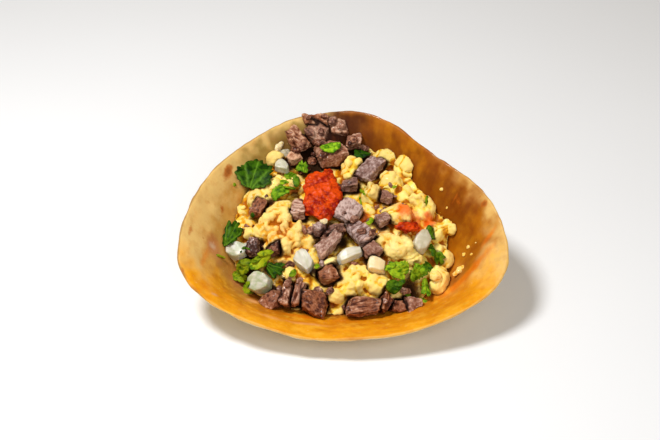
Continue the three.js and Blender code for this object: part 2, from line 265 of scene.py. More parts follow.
def keepValues(piece, name, values):
    values = np.asarray(values, np.float32)
    kind = "FLOAT_VECTOR" if values.ndim == 2 else "FLOAT"
    attribute = piece.data.attributes.new(name, kind, "POINT")
    attribute.data.foreach_set("vector" if values.ndim == 2 else "value", values.ravel())


def keepSame(piece, **values):
    for name, value in values.items():
        keepValues(piece, name, np.full(len(piece.data.vertices), value))


def hollows(piece, rounds, depth):
    # how far each point lies under the average of the skin round it, as a share of depth
    ends = np.empty(len(piece.data.edges) * 2, int)
    piece.data.edges.foreach_get("vertices", ends)
    first, second = ends.reshape(-1, 2).T
    start = places(piece)
    count = np.bincount(ends, minlength=len(start))[:, None]
    even = start.copy()
    for _ in range(rounds):
        total = np.zeros_like(even)
        for axis in range(3):
            total[:, axis] += np.bincount(first, even[second, axis], len(start))
            total[:, axis] += np.bincount(second, even[first, axis], len(start))
        even = total / np.maximum(count, 1)
    under = ((even - start) * normals(piece)).sum(1)
    return np.clip(under / depth, -1, 1)


def keepHollows(piece, rounds, depth, name="hollow"):
    keepValues(piece, name, hollows(piece, rounds, depth))


def treeOf(*pieces):
    corners, faces = [], []
    for piece in pieces:
        start = len(corners)
        corners += [vertex.co for vertex in piece.data.vertices]
        faces += [[start + corner for corner in face.vertices] for face in piece.data.polygons]
    return BVHTree.FromPolygons(corners, faces)


def nodesNamed(*starts):
    return [node for name, node in nodes.items() if name.startswith(starts)]


def nearness(piece, tree, reach):
    # 1 where a point touches what is in the tree, falling to 0 at the reach
    found = [tree.find_nearest(vertex.co, reach * mm)[3] for vertex in piece.data.vertices]
    return np.array([0 if far is None else 1 - far / (reach * mm) for far in found])


def finishPiece(piece, slotName, material, *replaced):
    piece.data.materials.clear()
    piece.data.materials.append(material)
    selectOnly(piece)
    bpy.ops.object.shade_smooth()
    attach(piece, "root")
    if replaced:
        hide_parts(*replaced)


def tellFaces(name, *pieces):
    print(name + ":", sum(len(piece.data.polygons) for piece in pieces), "faces")


def addLump(place, turn, radius, sizes, detail):
    # a round lump of some radius in mm, stretched to its sizes
    bpy.ops.mesh.primitive_ico_sphere_add(
        subdivisions=detail, radius=radius * mm, location=place, rotation=turn
    )
    lump = bpy.context.object
    lump.scale = sizes
    bpy.ops.object.transform_apply(location=True, rotation=True, scale=True)
    return lump


def mainFrame(points):
    # the middle of some points and their long, broad and thin directions, the thin one upwards
    middle = points.mean(0)
    _, _, axes = np.linalg.svd(points - middle, full_matrices=False)
    if axes[2, 2] < 0:
        axes[2] *= -1
    axes[1] = np.cross(axes[2], axes[0])
    return middle, axes


def dressNodes(kind, pieceName, numbers, settings, material, shape):
    # a finished piece from each numbered node of a kind; shape works its skin and keeps its values
    made = []
    for number in numbers:
        node = f"{kind}_{number:02d}"
        piece = copyOfNode(node, f"{pieceName}_{number:02d}")
        middle, axes = mainFrame(places(piece))
        remeshed(piece, settings)
        shape(piece, settings, number, middle, axes)
        keepHollows(piece, *settings["hollow"])
        finishPiece(piece, kind, material, node)
        made.append(piece)
    tellFaces(kind, *made)
    return made


def seededNoise(point, size, seed):
    return noise.noise(Vector(point) / size + Vector((seed * 7.3, seed * 3.1, seed * 5.7)))


def unevenness(points, coarse, fine, seed):
    # noise of two sizes at each point, the finer one half as strong
    return np.array([
        seededNoise(point, coarse, seed) + 0.5 * seededNoise(point, fine, seed + 1) for point in points
    ])


def linearColours(settings):
    return {name: np.array(srgb(*colour)[:3]) for name, colour in settings["colours"].items()}


def layPaint(paint, colour, weight):
    # lays a colour over the paint of each point, by its weight there
    paint += (colour - paint) * weight[:, None]


# The view and the light
def makeView(settings):
    lift = math.radians(settings["elevation"])
    target = Vector(settings["target"]) * mm
    away = Vector((0, -math.cos(lift), math.sin(lift))) * settings["distance"] * mm
    bpy.ops.object.camera_add(location=target + away, rotation=(math.pi / 2 - lift, 0, 0))
    camera = bpy.context.object
    camera.data.lens = settings["lens"]
    camera.data.shift_x, camera.data.shift_y = settings["shift"]
    bpy.context.scene.camera = camera


def addLight(name, place, size, power):
    place = Vector(place) * mm
    turn = (-place).to_track_quat("-Z", "Y").to_euler()
    bpy.ops.object.light_add(type="AREA", location=place, rotation=turn)
    light = bpy.context.object
    light.name = name
    light.data.shape = "DISK"
    light.data.size = size * mm
    light.data.energy = power


def makeStudio(settings):
    addLight("keyLight", settings["keyPlace"], settings["keySize"], settings["keyPower"])
    addLight("fillLight", settings["fillPlace"], settings["fillSize"], settings["fillPower"])
    world = bpy.data.worlds.new("paleStudio")
    bpy.context.scene.world = world
    world.use_nodes = True
    background = world.node_tree.nodes["Background"]
    background.inputs["Color"].default_value = srgb(*settings["worldColour"])
    background.inputs["Strength"].default_value = settings["worldStrength"]
    bpy.context.scene.view_settings.view_transform = "Standard"
    width = 2 * settings["floorHalf"] * mm
    bpy.ops.mesh.primitive_grid_add(x_subdivisions=4, y_subdivisions=4, size=width)
    floor = bpy.context.object
    floor.name = "paleFloor"
    floor.location.z = -settings["floorDrop"] * mm
    look = Look("paleFloor")
    cloud = look.noise(settings["cloudSize"], 2)
    shade, bright = settings["floorColours"]
    colour = look.mix(srgb(*shade), srgb(*bright), cloud)
    floor.data.materials.append(look.finish(colour, settings["floorRoughness"], cloud, 0.0, settings))
    print("view, light and floor are set")


# The tortilla
tortillaSettings = {
    "cupCentre": (0.04, -2.75),
    "sectors": 52,
    "levels": 3,
    "blisterSize": 8,
    "blisterHeight": 0.5,
    "dimpleSize": 2.2,
    "dimpleHeight": 0.12,
    "hollow": (6, 0.25),  # rounds of smoothing and depth
    "bumpDepth": 0.15,
    "shine": 0.18,
    "softLight": (0.06, (1.0, 0.5, 0.2), 2),
    "wideNoise": (14, 5, 3),  # coarse and fine size, and seed
    "closeNoise": (6, 2.5, 5),
    "turnEdge": (18, 12),  # softness and wander of a wash's sides in degrees
    "wallEdge": (0.07, 0.05),  # the same for its upper and lower edge, as shares of the reach
    "rimEdge": (0.012, 0.004),
    "rimFrom": 0.98,  # a wash that starts past this share of the reach lies on the rim
    "markWander": 0.8,
    "golden": (275, 72),  # middle and half turn
    "greasy": (48, 62),
    "flowScale": 80,
    "colours": {
        "creamDough": (230, 192, 116),
        "tanDough": (208, 154, 66),
        "goldDough": (236, 160, 14),
        "deepGold": (216, 132, 0),
        # painted shade: brown at the foot of the walls, where the filling meets them
        "contactBrown": (150, 84, 10),
        "greasyAmber": (178, 106, 6),
        "darkAmber": (132, 68, 1),
        # painted shade: near-black brown for the back wall behind the beef
        "darkCrease": (80, 34, 2),
        "oliveDough": (150, 122, 50),
        "paleDough": (228, 188, 108),
        "peachDough": (240, 176, 112),
        "rimBrown": (146, 106, 50),
        "smearPink": (192, 122, 72),
        "smearPale": (216, 188, 156),
        "foldOrange": (226, 124, 4),
    },
    # washes of colour inside the cup: colour, middle turn, half turn, from and to share, strength
    "washes": [
        ("goldDough", 268, 68, 0, 2, 1.0),
        ("deepGold", 290, 72, 0, 0.8, 0.75),
        ("deepGold", 225, 16, 0.82, 0.9, 0.5),
        ("deepGold", 305, 20, 0.82, 0.9, 0.5),
        ("tanDough", 172, 34, 0, 0.86, 0.85),
        # painted shade at the foot of the walls next to the filling
        ("contactBrown", 180, 55, 0, 0.76, 0.5),
        ("contactBrown", 215, 75, 0, 0.62, 0.8),
        ("contactBrown", 295, 60, 0, 0.6, 0.6),
        ("greasyAmber", 44, 58, 0, 2, 1.0),
        ("darkAmber", 54, 50, 0, 0.93, 0.75),
        ("darkAmber", 62, 26, 0, 0.9, 0.6),
        ("oliveDough", 128, 17, 0, 0.96, 0.9),
        # painted shade on the back wall behind the beef
        ("darkCrease", 94, 17, 0, 0.99, 0.9),
        ("darkCrease", 112, 10, 0, 0.9, 0.8),
        ("paleDough", 356, 15, 0.945, 2, 0.85),
        ("paleDough", 16, 20, 0.965, 2, 0.45),
        ("rimBrown", 148, 62, 0.984, 2, 0.75),
        ("rimBrown", 56, 40, 0.986, 2, 0.8),
        ("paleDough", 285, 70, 0.986, 2, 0.6),
    ],
    # marks on the dough: colour, x, y, long, wide, turn, strength
    "marks": [
        ("smearPink", -63.4, -13.0, 13, 7, 78, 0.85),
        ("smearPale", -64.1, -13.2, 3.4, 2.4, 60, 0.8),
        ("foldOrange", -67.0, -22.4, 12, 1.8, 80, 0.5),
        ("darkAmber", 52, -22.5, 22, 7, 8, 0.7),
        ("foldOrange", 59.5, -26.6, 26, 4.5, 12, 0.9),
        ("foldOrange", 70.5, -18.2, 7, 2.6, 30, 0.8),
        ("peachDough", -26.7, -33.6, 18, 4, -10, 0.8),
        ("peachDough", -43.9, -34.9, 7, 4, -20, 0.8),
        ("foldOrange", -21.2, -44.5, 12, 4, -5, 0.7),
        ("peachDough", -18.2, -53.0, 22, 3, -2, 0.5),
        ("peachDough", -34.6, -52.2, 14, 3, -20, 0.4),
        ("smearPale", -60.8, -46.0, 3, 2, 30, 0.6),
        ("smearPink", -51.5, -21.0, 8, 8, 30, 0.6),
    ],
    # toasted spots as x, y, long, wide, turn in degrees, strength
    "spots": [
        (-58.0, 24.0, 9.5, 3.0, 64, 1.2),
        (-60.4, 7.8, 6, 2.2, 80, 0.8),
        (-61.3, 3.8, 7, 1.4, 84, 0.5),
        (-61.6, 14.5, 2.2, 1.8, 0, 0.6),
        (-65.9, 5.0, 2.4, 1.6, 20, 0.5),
        (-74.1, -15.8, 6, 2.4, 78, 0.8),
        (-76.0, -38.7, 3.6, 2.6, 40, 0.8),
        (-68.0, -50.6, 5.5, 2.4, -30, 0.7),
        (-68.3, -13.4, 2.2, 1.8, 60, 0.7),
        (-66.3, -27.9, 2.4, 1.8, 0, 0.5),
        (-63.5, -35.1, 2, 1.6, 0, 0.4),
        (-44.2, -42.7, 9, 2.2, -15, 0.35),
        (22.1, -59.5, 12, 1.6, 6, 0.4),
        (36.0, -60.9, 10, 1.6, 12, 0.4),
        (69.1, -3.6, 4, 2.8, -50, 1.2),
        (66.8, 0.7, 2, 1.6, 0, 0.6),
        (55.9, 9.2, 4, 1.4, 20, 0.6),
        (57.3, 6.8, 5, 1.4, -65, 0.7),
        (34.5, 41.1, 5, 2, -40, 0.5),
    ],
}


def window(away, half, soft):
    # 1 well inside the half width, 0 well outside, with a soft edge
    share = np.clip((half - np.abs(away)) / soft + 0.5, 0, 1)
    return share * share * (3 - 2 * share)


def ovalAt(points, x, y, long, wide, angle):
    way = math.radians(angle)
    right = points[:, 0] - x - cupShift[0]
    back = points[:, 1] - y - cupShift[1]
    along = right * math.cos(way) + back * math.sin(way)
    across = back * math.cos(way) - right * math.sin(way)
    return (2 * along / long) ** 2 + (2 * across / wide) ** 2


def tortillaLook(settings):
    look = Look("griddledTortilla")
    inner, golden, greasy, toast, hollow = look.values("inner", "golden", "greasy", "toast", "hollow")
    paint = look.value("paint", "Color")
    flow = look.value("flow", "Vector")
    cloud = look.noise(14, 3, 0.55)
    mottle = look.noise(4, 5, 0.6)
    speck = look.noise(1.6, 3, 0.6)
    fine = look.noise(0.9, 3, 0.6)
    streak = look.noise(1.0, 4, 0.55, place=look.stretched(flow, (0.17, 0.055, 0.055)))
    drip = look.noise(1.0, 3, 0.5, place=look.stretched(flow, (0.07, 0.14, 0.14)))
    deeper = look.step(mottle, 0.46, 0.7) * 0.3 + look.step(cloud, 0.42, 0.7) * 0.25
    scorch = look.step(toast + (mottle - 0.5) * 1.1 + (speck - 0.5) * 0.5, 0.25, 0.85)
    inside = look.layers(
        paint,
        ((224, 184, 130), deeper, "MULTIPLY"),
        ((228, 172, 90), look.step(streak, 0.48, 0.68) * golden * 0.3, "MULTIPLY"),
        ((246, 184, 58), look.step(1 - streak * 0.5 - mottle * 0.5, 0.5, 0.62) * golden * 0.4),
        ((190, 140, 70), look.step(drip * 0.5 + cloud * 0.5, 0.44, 0.62) * greasy * 0.45, "MULTIPLY"),
        ((200, 128, 14), look.step(1 - drip * 0.5 - mottle * 0.5, 0.52, 0.64) * greasy * 0.25),
        ((240, 210, 150), look.step(speck, 0.6, 0.75) * (1 - greasy) * 0.25),
        ((180, 92, 14), scorch * look.step(toast, 0.02, 0.3) * 0.85),
        ((122, 58, 8), look.step(toast + (mottle - 0.5) * 1.2, 0.7, 1.2) * 0.55),
        # painted shade in the hollows of the dough
        ((170, 104, 40), look.step(hollow, 0.2, 1.0) * 0.25),
    )
    griddle = look.step(look.noise(11, 4, 0.6, warp=0.6), 0.56, 0.66)
    under = look.layers(
        look.mix(srgb(236, 210, 158), srgb(224, 188, 124), look.step(cloud, 0.35, 0.65)),
        ((176, 108, 44), griddle * look.step(mottle, 0.3, 0.6) * 0.8),
    )
    colour = look.mix(under, inside, inner)
    roughness = 0.66 - 0.1 * golden - 0.2 * greasy + 0.12 * (fine - 0.5)
    relief = fine * 0.3 + mottle * (1 - 0.4 * greasy)
    return look.finish(colour, roughness, relief, 0.15 * greasy, settings)


def turnAndReach(points, centre):
    flat = points[:, :2] - np.array(centre)
    return np.degrees(np.arctan2(flat[:, 1], flat[:, 0])) % 360, np.hypot(flat[:, 0], flat[:, 1])


def makeTortilla(settings):
    piece = copyOfNode("tortilla", "griddled_tortilla")
    bpy.ops.object.mode_set(mode="EDIT")
    bpy.ops.mesh.select_all(action="SELECT")
    bpy.ops.mesh.tris_convert_to_quads()
    bpy.ops.object.mode_set(mode="OBJECT")
    turn, reach = turnAndReach(places(piece), settings["cupCentre"])
    sectors = settings["sectors"]
    sector = np.round(turn * sectors / 360).astype(int) % sectors
    rims = np.array([reach[sector == index].max() for index in range(sectors)])
    angles = np.arange(sectors) * 360 / sectors
    useModifier(piece, "SUBSURF", levels=settings["levels"], render_levels=settings["levels"])
    points = places(piece)
    turn, reach = turnAndReach(points, settings["cupCentre"])
    share = reach / np.interp(turn, angles, rims, period=360)
    inner = np.clip(normals(piece)[:, 2] * 3 + 0.5, 0, 1)  # 1 on the side that holds the filling
    wide = unevenness(points, *settings["wideNoise"])
    close = unevenness(points, *settings["closeNoise"])

    def inTurn(middle, half):
        soft, wander = settings["turnEdge"]
        return window((turn + wander * wide - middle + 180) % 360 - 180, half, soft)

    colours = linearColours(settings)
    paint = np.tile(colours["creamDough"], (len(points), 1))
    for name, middle, half, low, high, strength in settings["washes"]:
        soft, wander = settings["rimEdge" if low > settings["rimFrom"] else "wallEdge"]
        height = share + wander * close - (low + high) / 2
        weight = inTurn(middle, half) * window(height, (high - low) / 2, soft)
        layPaint(paint, colours[name], weight * strength)
    for name, x, y, long, broad, angle, strength in settings["marks"]:
        oval = ovalAt(points, x, y, long, broad, angle) * (1 + settings["markWander"] * close)
        layPaint(paint, colours[name], np.exp(-oval ** 2) * strength)
    toast = np.zeros(len(points))
    for x, y, long, broad, angle, strength in settings["spots"]:
        spot = strength * np.exp(-ovalAt(points, x, y, long, broad, angle))
        toast = np.maximum(toast, spot * (inner > 0.5))
    bearing = np.radians(turn)
    flow = np.stack([share, np.cos(bearing), np.sin(bearing)], 1) * settings["flowScale"]
    keepValues(piece, "inner", inner)
    keepValues(piece, "golden", inTurn(*settings["golden"]))
    keepValues(piece, "greasy", inTurn(*settings["greasy"]))
    keepValues(piece, "toast", toast)
    keepValues(piece, "paint", paint)
    keepValues(piece, "flow", flow)
    heights = []
    for point in points:
        blister = seededNoise(point, settings["blisterSize"], 1) * settings["blisterHeight"]
        dimple = seededNoise(point, settings["dimpleSize"], 2) * settings["dimpleHeight"]
        heights.append(blister + dimple)
    raiseSkin(piece, heights)
    moved = places(piece)
    moved[:, 2] = np.maximum(moved[:, 2], 0)  # nothing sinks below what it lies on
    setPlaces(piece, moved)
    keepHollows(piece, *settings["hollow"])
    finishPiece(piece, "tortilla", tortillaLook(settings), "tortilla")
    tellFaces("tortilla", piece)
    return piece


# The scrambled egg
eggSettings = {
    "voxel": 0.55,
    "smoothing": 4,
    "extraCurds": 26,
    "curdArea": ((-58, 58), (-45, 60)),
    "curdRadius": (4.0, 7.2),
    "curdSink": (0.1, 0.6),  # how much of its radius a curd sinks in
    "curdSizes": ((0.9, 1.5), (0.8, 1.1), (0.45, 0.7)),  # stretch of its length, width and thickness
    "wallClearance": 1.3,
    "seed": 11,
    # folded cells, as size, height, width of the crease, its curve and its sink
    "cells": [(14, 1.7, 0.35, 0.45, 0.8), (6.5, 0.4, 0.5, 0.7, 0.6)],
    "warps": [(11, 6), (4, 1.2)],  # size and reach
    "softNoise": [(5, 4, 0.5), (1.8, 5, 0.4)],  # size, seed and height
    "billows": [(6, 0.4, 2.4), (2.4, 0.3, 1.1)],  # size, share of the warp and height
    "billowSink": 0.9,
    "calmShare": 0.85,
    # reaches in mm of the painted shade near the beef and near the other toppings
    "juiceReach": (3.6, 3.2),  # round the beef, and round all else
    "otherJuice": 0.7,
    "hollow": (8, 0.5),
    "deep": (50, 1.5),
    "bumpDepth": 0.2,
    "shine": 0.08,
    "softLight": (0.1, (1.0, 0.7, 0.2), 1),
    "colours": {
        "plainEgg": (252, 214, 70),
        "paleEgg": (248, 212, 96),
        "peachEgg": (240, 188, 98),
        "goldEgg": (238, 180, 36),
        # painted shade: the olive brown that the egg shows in shadow
        "oliveEgg": (186, 152, 30),
        "creamEgg": (252, 232, 172),
        "amberEgg": (214, 132, 14),
        # painted light: a brighter yellow for the egg's right side, which faces away from the key light
        "brightEgg": (255, 238, 116),
    },
    # areas of another colour, as colour, x, y, radius, strength
    "areas": [
        ("peachEgg", -29, -6, 17, 0.95),
        # the olive areas are painted shade on the egg
        ("oliveEgg", -45, 14, 9, 0.9),
        ("goldEgg", -46, 1, 6, 0.9),
        ("paleEgg", -39, 23, 7, 0.7),
        ("goldEgg", -36, 40, 6, 0.9),
        ("oliveEgg", 12, 20, 8, 0.7),
        ("oliveEgg", 24, 41, 9, 0.6),
        ("amberEgg", 19, -4, 5, 0.9),
        ("creamEgg", 28, -12, 10, 0.9),
        ("paleEgg", 39, 14, 9, 0.9),
        # painted light: the bright areas lighten the egg's right side, which the key light reaches least
        ("brightEgg", 52, -5, 15, 0.95),
        ("brightEgg", 43, -16, 10, 0.9),
        ("brightEgg", 38, 6, 8, 0.7),
        ("brightEgg", 33, 24, 8, 0.6),
        ("amberEgg", 47, 6, 4, 0.6),
        ("paleEgg", 5, -29, 10, 0.8),
        ("amberEgg", 10, -20, 4, 0.7),
        ("creamEgg", -5, -22, 6, 0.6),
        ("amberEgg", 21, 12, 5, 0.6),
    ],
    # masses with soft billows in place of folds, as x, y, radius, strength
    "calm": [
        (-28, -7, 16, 1.0),
        (28, -13, 10, 1.0),
        (8, -27, 10, 0.8),
        (37, 12, 8, 0.8),
        (-40, 12, 9, 0.7),
        (10, 30, 7, 0.6),
    ],
    # salsa that has run on the egg, as x, y, radius, strength
    "stains": [
        (31.5, 6.3, 6, 1.0),
        (43.0, 4.3, 5, 0.9),
        (36.4, 2.3, 5, 0.9),
        (10.5, 6.0, 4, 0.9),
        (-10.1, 14.3, 16, 0.45),
        (25.4, 11.3, 5, 0.5),
    ],
    # painted shade in the gaps between the dice, as x, y, radius, strength
    "soaked": [
        (-16.0, 41.6, 11, 1.3),
        (-21.0, 47.0, 10, 1.3),
        (-27.5, 51.1, 6, 1.0),
        (-9.4, 54.0, 10, 1.3),
        (1.0, 55.0, 10, 1.3),
        (8.8, 47.0, 8, 1.1),
        (0.0, 14.5, 5, 0.8),
        (-10.3, -10.2, 6, 1.0),
        (-1.5, -8.5, 6, 1.0),
        (-16.1, 14.9, 4, 0.8),
        (-6.4, 0.1, 5, 0.8),
        (-30.5, -20.0, 5, 0.8),
        (-24.0, -31.5, 6, 0.7),
        (-9.0, -35.5, 6, 0.7),
        (33.0, -28.0, 8, 0.9),
        (-46.0, -20.0, 8, 0.9),
        (-36.0, -20.0, 6, 0.8),
        (-24.0, 22.0, 6, 0.7),
        (-40.0, 33.0, 5, 0.6),
    ],
}


def eggLook(settings):
    look = Look("softEgg")
    hollow, deep, stain, soaked, calm = look.values("hollow", "deep", "stain", "soaked", "calm")
    paint = look.value("paint", "Color")
    cloud = look.noise(8, 3, 0.5)
    mottle = look.noise(2.4, 4, 0.6)
    fine = look.noise(0.8, 3, 0.6)
    # painted highlight: cream patches kept off the hollows, so that raised curds read lighter
    cream = look.step(mottle - 0.5 * hollow - 0.4 * deep, 0.46, 0.64)
    # amber in the crevices: oil that gathers there, and painted shade
    amber = look.step(hollow * 0.7 + deep * 0.8 + (cloud - 0.5) * 1.1 - calm * 0.32, 0.0, 0.6)
    # painted shade: the egg darkens to brown and near black in the gaps and round the toppings
    gapDarkness = look.step(soaked + (mottle - 0.5) * 0.8 + deep * 0.2, 0.3, 0.8)
    colour = look.layers(
        paint,
        ((244, 218, 150), look.step(cloud, 0.4, 0.62) * 0.9, "MULTIPLY"),
        ((255, 236, 158), cream * (0.55 - 0.1 * calm)),
        ((228, 154, 14), amber * 0.8),
        # painted shade: deep brown in the deep creases
        ((164, 84, 2), look.step(deep + hollow * 0.6 + (mottle - 0.5) * 0.5, 0.3, 0.9) * 0.9),
        ((230, 88, 0), look.step(stain + (mottle - 0.5) * 0.8, 0.3, 0.8) * 0.85),
        ((104, 50, 6), gapDarkness * 0.9),
        ((26, 10, 3), look.step(soaked + (fine - 0.5) * 0.4, 0.5, 0.9) * 0.95),
    )
    relief = fine * 0.6 + mottle
    roughness = 0.46 + 0.25 * (fine - 0.5) + 0.35 * gapDarkness
    return look.finish(colour, roughness, relief, 0.16 - 0.16 * gapDarkness, settings)


def firstBelow(trees, x, y):
    # what a thing dropped at (x, y) meets first: the point in mm, the normal and the name
    start = Vector((x, y, 120)) * mm
    best = None
    for name, tree in trees.items():
        point, normal, _, distance = tree.ray_cast(start, Vector((0, 0, -1)))
        if point and (best is None or distance < best[0]):
            best = (distance, point / mm, normal, name)
    return best[1:] if best else None


def scatterCurds(settings, trees):
    draw = random.Random(settings["seed"])
    made = []
    while len(made) < settings["extraCurds"]:
        x, y = (draw.uniform(*side) for side in settings["curdArea"])
        radius = draw.uniform(*settings["curdRadius"])
        feet = [(x, y), (x - radius, y), (x + radius, y), (x, y - radius), (x, y + radius)]
        met = [firstBelow(trees, *foot) for foot in feet]
        if any(hit is None or hit[2] != "scrambled_egg" for hit in met):
            continue
        point, normal, _ = met[0]
        centre = (point - normal * radius * draw.uniform(*settings["curdSink"])) * mm
        turn = [draw.uniform(0, math.pi) for _ in range(3)]
        if trees["tortilla"].find_nearest(centre)[3] < settings["wallClearance"] * radius * mm:
            continue
        sizes = [draw.uniform(*side) for side in settings["curdSizes"]]
        made.append(addLump(centre, turn, radius, sizes, 2))
    return made


def spread(points, areas):
    # the strongest of some round areas at each point
    strongest = np.zeros(len(points))
    for x, y, radius, strength in areas:
        area = strength * np.exp(-ovalAt(points, x, y, 2 * radius, 2 * radius, 0))
        strongest = np.maximum(strongest, area)
    return strongest


def eggHeight(point, calm, settings):
    # how far the skin is raised: folds on the loose curds, and billows where the egg is calm
    place = Vector(point)
    warp = Vector()
    for size, reach in settings["warps"]:
        warp += noise.noise_vector(place / size) * reach
    folded = 0
    for size, height, crease, curve, sink in settings["cells"]:
        near, far = noise.voronoi((place + warp) / size)[0][:2]
        folded += (min(1, (far - near) / crease) ** curve - sink) * height
    soft = sum(seededNoise(point, size, seed) * height for size, seed, height in settings["softNoise"])
    billow = -settings["billowSink"]
    for size, follow, height in settings["billows"]:
        billow += height * abs(noise.noise((place + warp * follow) / size))
    return folded * (1 - settings["calmShare"] * calm) + soft + billow * calm


def makeEgg(settings):
    cadTrees = {name: treeOf(node) for name, node in nodes.items()}
    curds = scatterCurds(settings, cadTrees)
    piece = copyOfNode("scrambled_egg", "scrambled_egg_curds")
    selectOnly(piece, *curds)
    bpy.ops.object.join()
    remeshed(piece, settings)
    points = places(piece)
    calm = spread(points, settings["calm"])
    raiseSkin(piece, [eggHeight(point, rest, settings) for point, rest in zip(points, calm)])
    useModifier(piece, "SMOOTH", factor=0.5, iterations=1)
    points = places(piece)
    beefReach, otherReach = settings["juiceReach"]
    # painted shade: darker near the beef and, less, near the other toppings
    soaked = nearness(piece, treeOf(*nodesNamed("beef")), beefReach)
    otherTree = treeOf(*nodesNamed("onion", "cilantro", "salsa"))
    soaked = soaked + settings["otherJuice"] * nearness(piece, otherTree, otherReach)
    soaked = np.maximum(soaked, spread(points, settings["soaked"]))
    colours = linearColours(settings)
    paint = np.tile(colours["plainEgg"], (len(points), 1))
    for name, *area in settings["areas"]:
        layPaint(paint, colours[name], spread(points, [area]))
    keepValues(piece, "paint", paint)
    keepValues(piece, "stain", spread(points, settings["stains"]))
    keepValues(piece, "soaked", soaked)
    keepValues(piece, "calm", calm)
    keepHollows(piece, *settings["hollow"])
    keepHollows(piece, *settings["deep"], name="deep")
    finishPiece(piece, "egg", eggLook(settings), "scrambled_egg")
    tellFaces("egg", piece)
    return piece


# The diced beef
beefSettings = {
    "voxel": 0.38,
    "smoothing": 2,
    "fibreWidth": 1.15,
    "fibreHeight": 0.2,
    "fineFibre": (2.3, 0.4),  # how many times finer, and how strong
    "tornSize": 6,
    "tornHeight": 1.1,
    "raggedSize": 1.6,
    "raggedHeight": 0.4,
    "sink": 0.15,
    "contactReach": 2.0,
    "hollow": (6, 0.4),
    "grainShift": 31.0,  # between the patterns of two dice
    "bumpDepth": 0.26,
    "shine": 0.14,
    "softLight": (0.04, (1.0, 0.35, 0.25), 1),
    # how red and how light each dice is
    "tones": {
        1: (0.2, 0.95),
        2: (0.1, 0.8),
        3: (0.8, 0.6),
        4: (0.1, 0.7),
        5: (0.2, 0.4),
        6: (0.5, 0.5),
        7: (0.7, 0.8),
        8: (0.8, 0.75),
        9: (1.0, 0.65),
        10: (0.7, 0.6),
        11: (0.9, 0.66),
        12: (1.0, 0.9),
        13: (0.6, 0.8),
        14: (0.3, 0.45),
        15: (0.3, 0.3),
        16: (0.45, 0.75),
        17: (0.35, 0.7),
        18: (0.5, 0.6),
        19: (1.0, 0.45),
        20: (0.1, 0.12),
        21: (0.9, 0.4),
        22: (0.7, 0.3),
        23: (0.8, 0.45),
        24: (0.7, 0.5),
        25: (0.7, 0.5),
        26: (1.0, 0.25),
        27: (0.9, 0.4),
        28: (1.0, 0.1),
        29: (0.8, 0.35),
        30: (0.5, 0.75),
    },
    "grainTurns": {27: 0, 2: 90, 13: 90, 24: 0, 25: 0, 28: 60},
    # how long the fibres of a dice look against their width
    "plainLength": 2.2,
    "stripedLengths": {2: 5, 11: 5, 13: 7, 20: 5, 24: 6, 25: 6, 27: 9, 28: 8},
}


def beefLook(settings):
    look = Look("searedBeef")
    hollow, ridge, red = look.values("hollow", "ridge", "red")
    light, contact, striped = look.values("light", "contact", "striped")
    grain = look.value("grain", "Vector")
    fibre = look.noise(1.0, 3, 0.6, place=grain)
    strand = look.noise(0.4, 2, 0.6, place=grain)
    cloud = look.noise(3.4, 4, 0.6)
    dark = look.mix(srgb(58, 32, 26), srgb(74, 30, 12), red)
    middle = look.mix(srgb(128, 98, 90), srgb(146, 88, 56), red)
    pale = look.mix(srgb(196, 174, 170), srgb(218, 172, 138), red)
    patchy = 1.9 - 1.1 * light
    shown = 0.5 + (fibre - 0.5) * (0.9 + striped) + (strand - 0.5) * 0.6 + (cloud - 0.5) * patchy
    # painted shade: darker in the hollows and near what the dice touches
    shown = shown + ridge * (0.15 + 0.3 * striped) + (light - 0.5) * 0.75 - hollow * 0.2 - contact * 0.4
    colour = look.mix(dark, middle, look.step(shown, 0.1, 0.5))
    colour = look.layers(
        look.mix(colour, pale, look.step(shown, 0.5, 1.05)),
        # painted highlight: lighter tan on the raised edges
        ((204, 150, 114), look.step(0 - hollow + (cloud - 0.5) * 1.2, 0.3, 0.9) * 0.45),
        # painted shade in the hollows
        ((40, 18, 12), look.step(hollow, 0.4, 1.0) * 0.6),
        # painted contact shadow where a dice touches the egg, an onion or another dice
        ((28, 11, 6), look.step(contact, 0.2, 0.8) * 0.95),
    )
    relief = fibre + strand * 0.6
    roughness = 0.48 + 0.3 * (strand - 0.5) + 0.3 * contact
    return look.finish(colour, roughness, relief, 0.14 - 0.14 * contact, settings)


def shapeBeef(piece, settings, number, middle, axes):
    turn = math.radians(settings["grainTurns"].get(number, 0))
    along = axes[0] * math.cos(turn) + axes[1] * math.sin(turn)
    across = axes[1] * math.cos(turn) - axes[0] * math.sin(turn)
    striped = settings["stripedLengths"]
    times, strength = settings["fineFibre"]
    points = places(piece)
    grain = np.stack([(points - middle) @ way for way in (along, across, axes[2])], 1)
    grain[:, 0] /= striped.get(number, settings["plainLength"])
    grain += number * settings["grainShift"]
    ridges, heights = [], []
    for point, local in zip(points, grain):
        squeezed = Vector(local) / settings["fibreWidth"]
        ridge = noise.noise(squeezed) + strength * noise.noise(squeezed * times)
        torn = seededNoise(point, settings["tornSize"], number)
        ragged = seededNoise(point, settings["raggedSize"], number)
        ridges.append(ridge)
        height = ridge * settings["fibreHeight"] + torn * settings["tornHeight"]
        heights.append(height + ragged * settings["raggedHeight"] - settings["sink"])
    raiseSkin(piece, heights)
    red, light = settings["tones"][number]
    keepSame(piece, red=red, light=light, striped=int(number in striped))
    keepValues(piece, "ridge", ridges)
    keepValues(piece, "grain", grain)
    # nearness to the egg, onions and other dice, for the painted contact shadow
    own = nodes[f"beef_{number:02d}"]
    others = [other for other in nodesNamed("beef", "scrambled_egg", "onion") if other != own]
    keepValues(piece, "contact", nearness(piece, treeOf(*others), settings["contactReach"]))


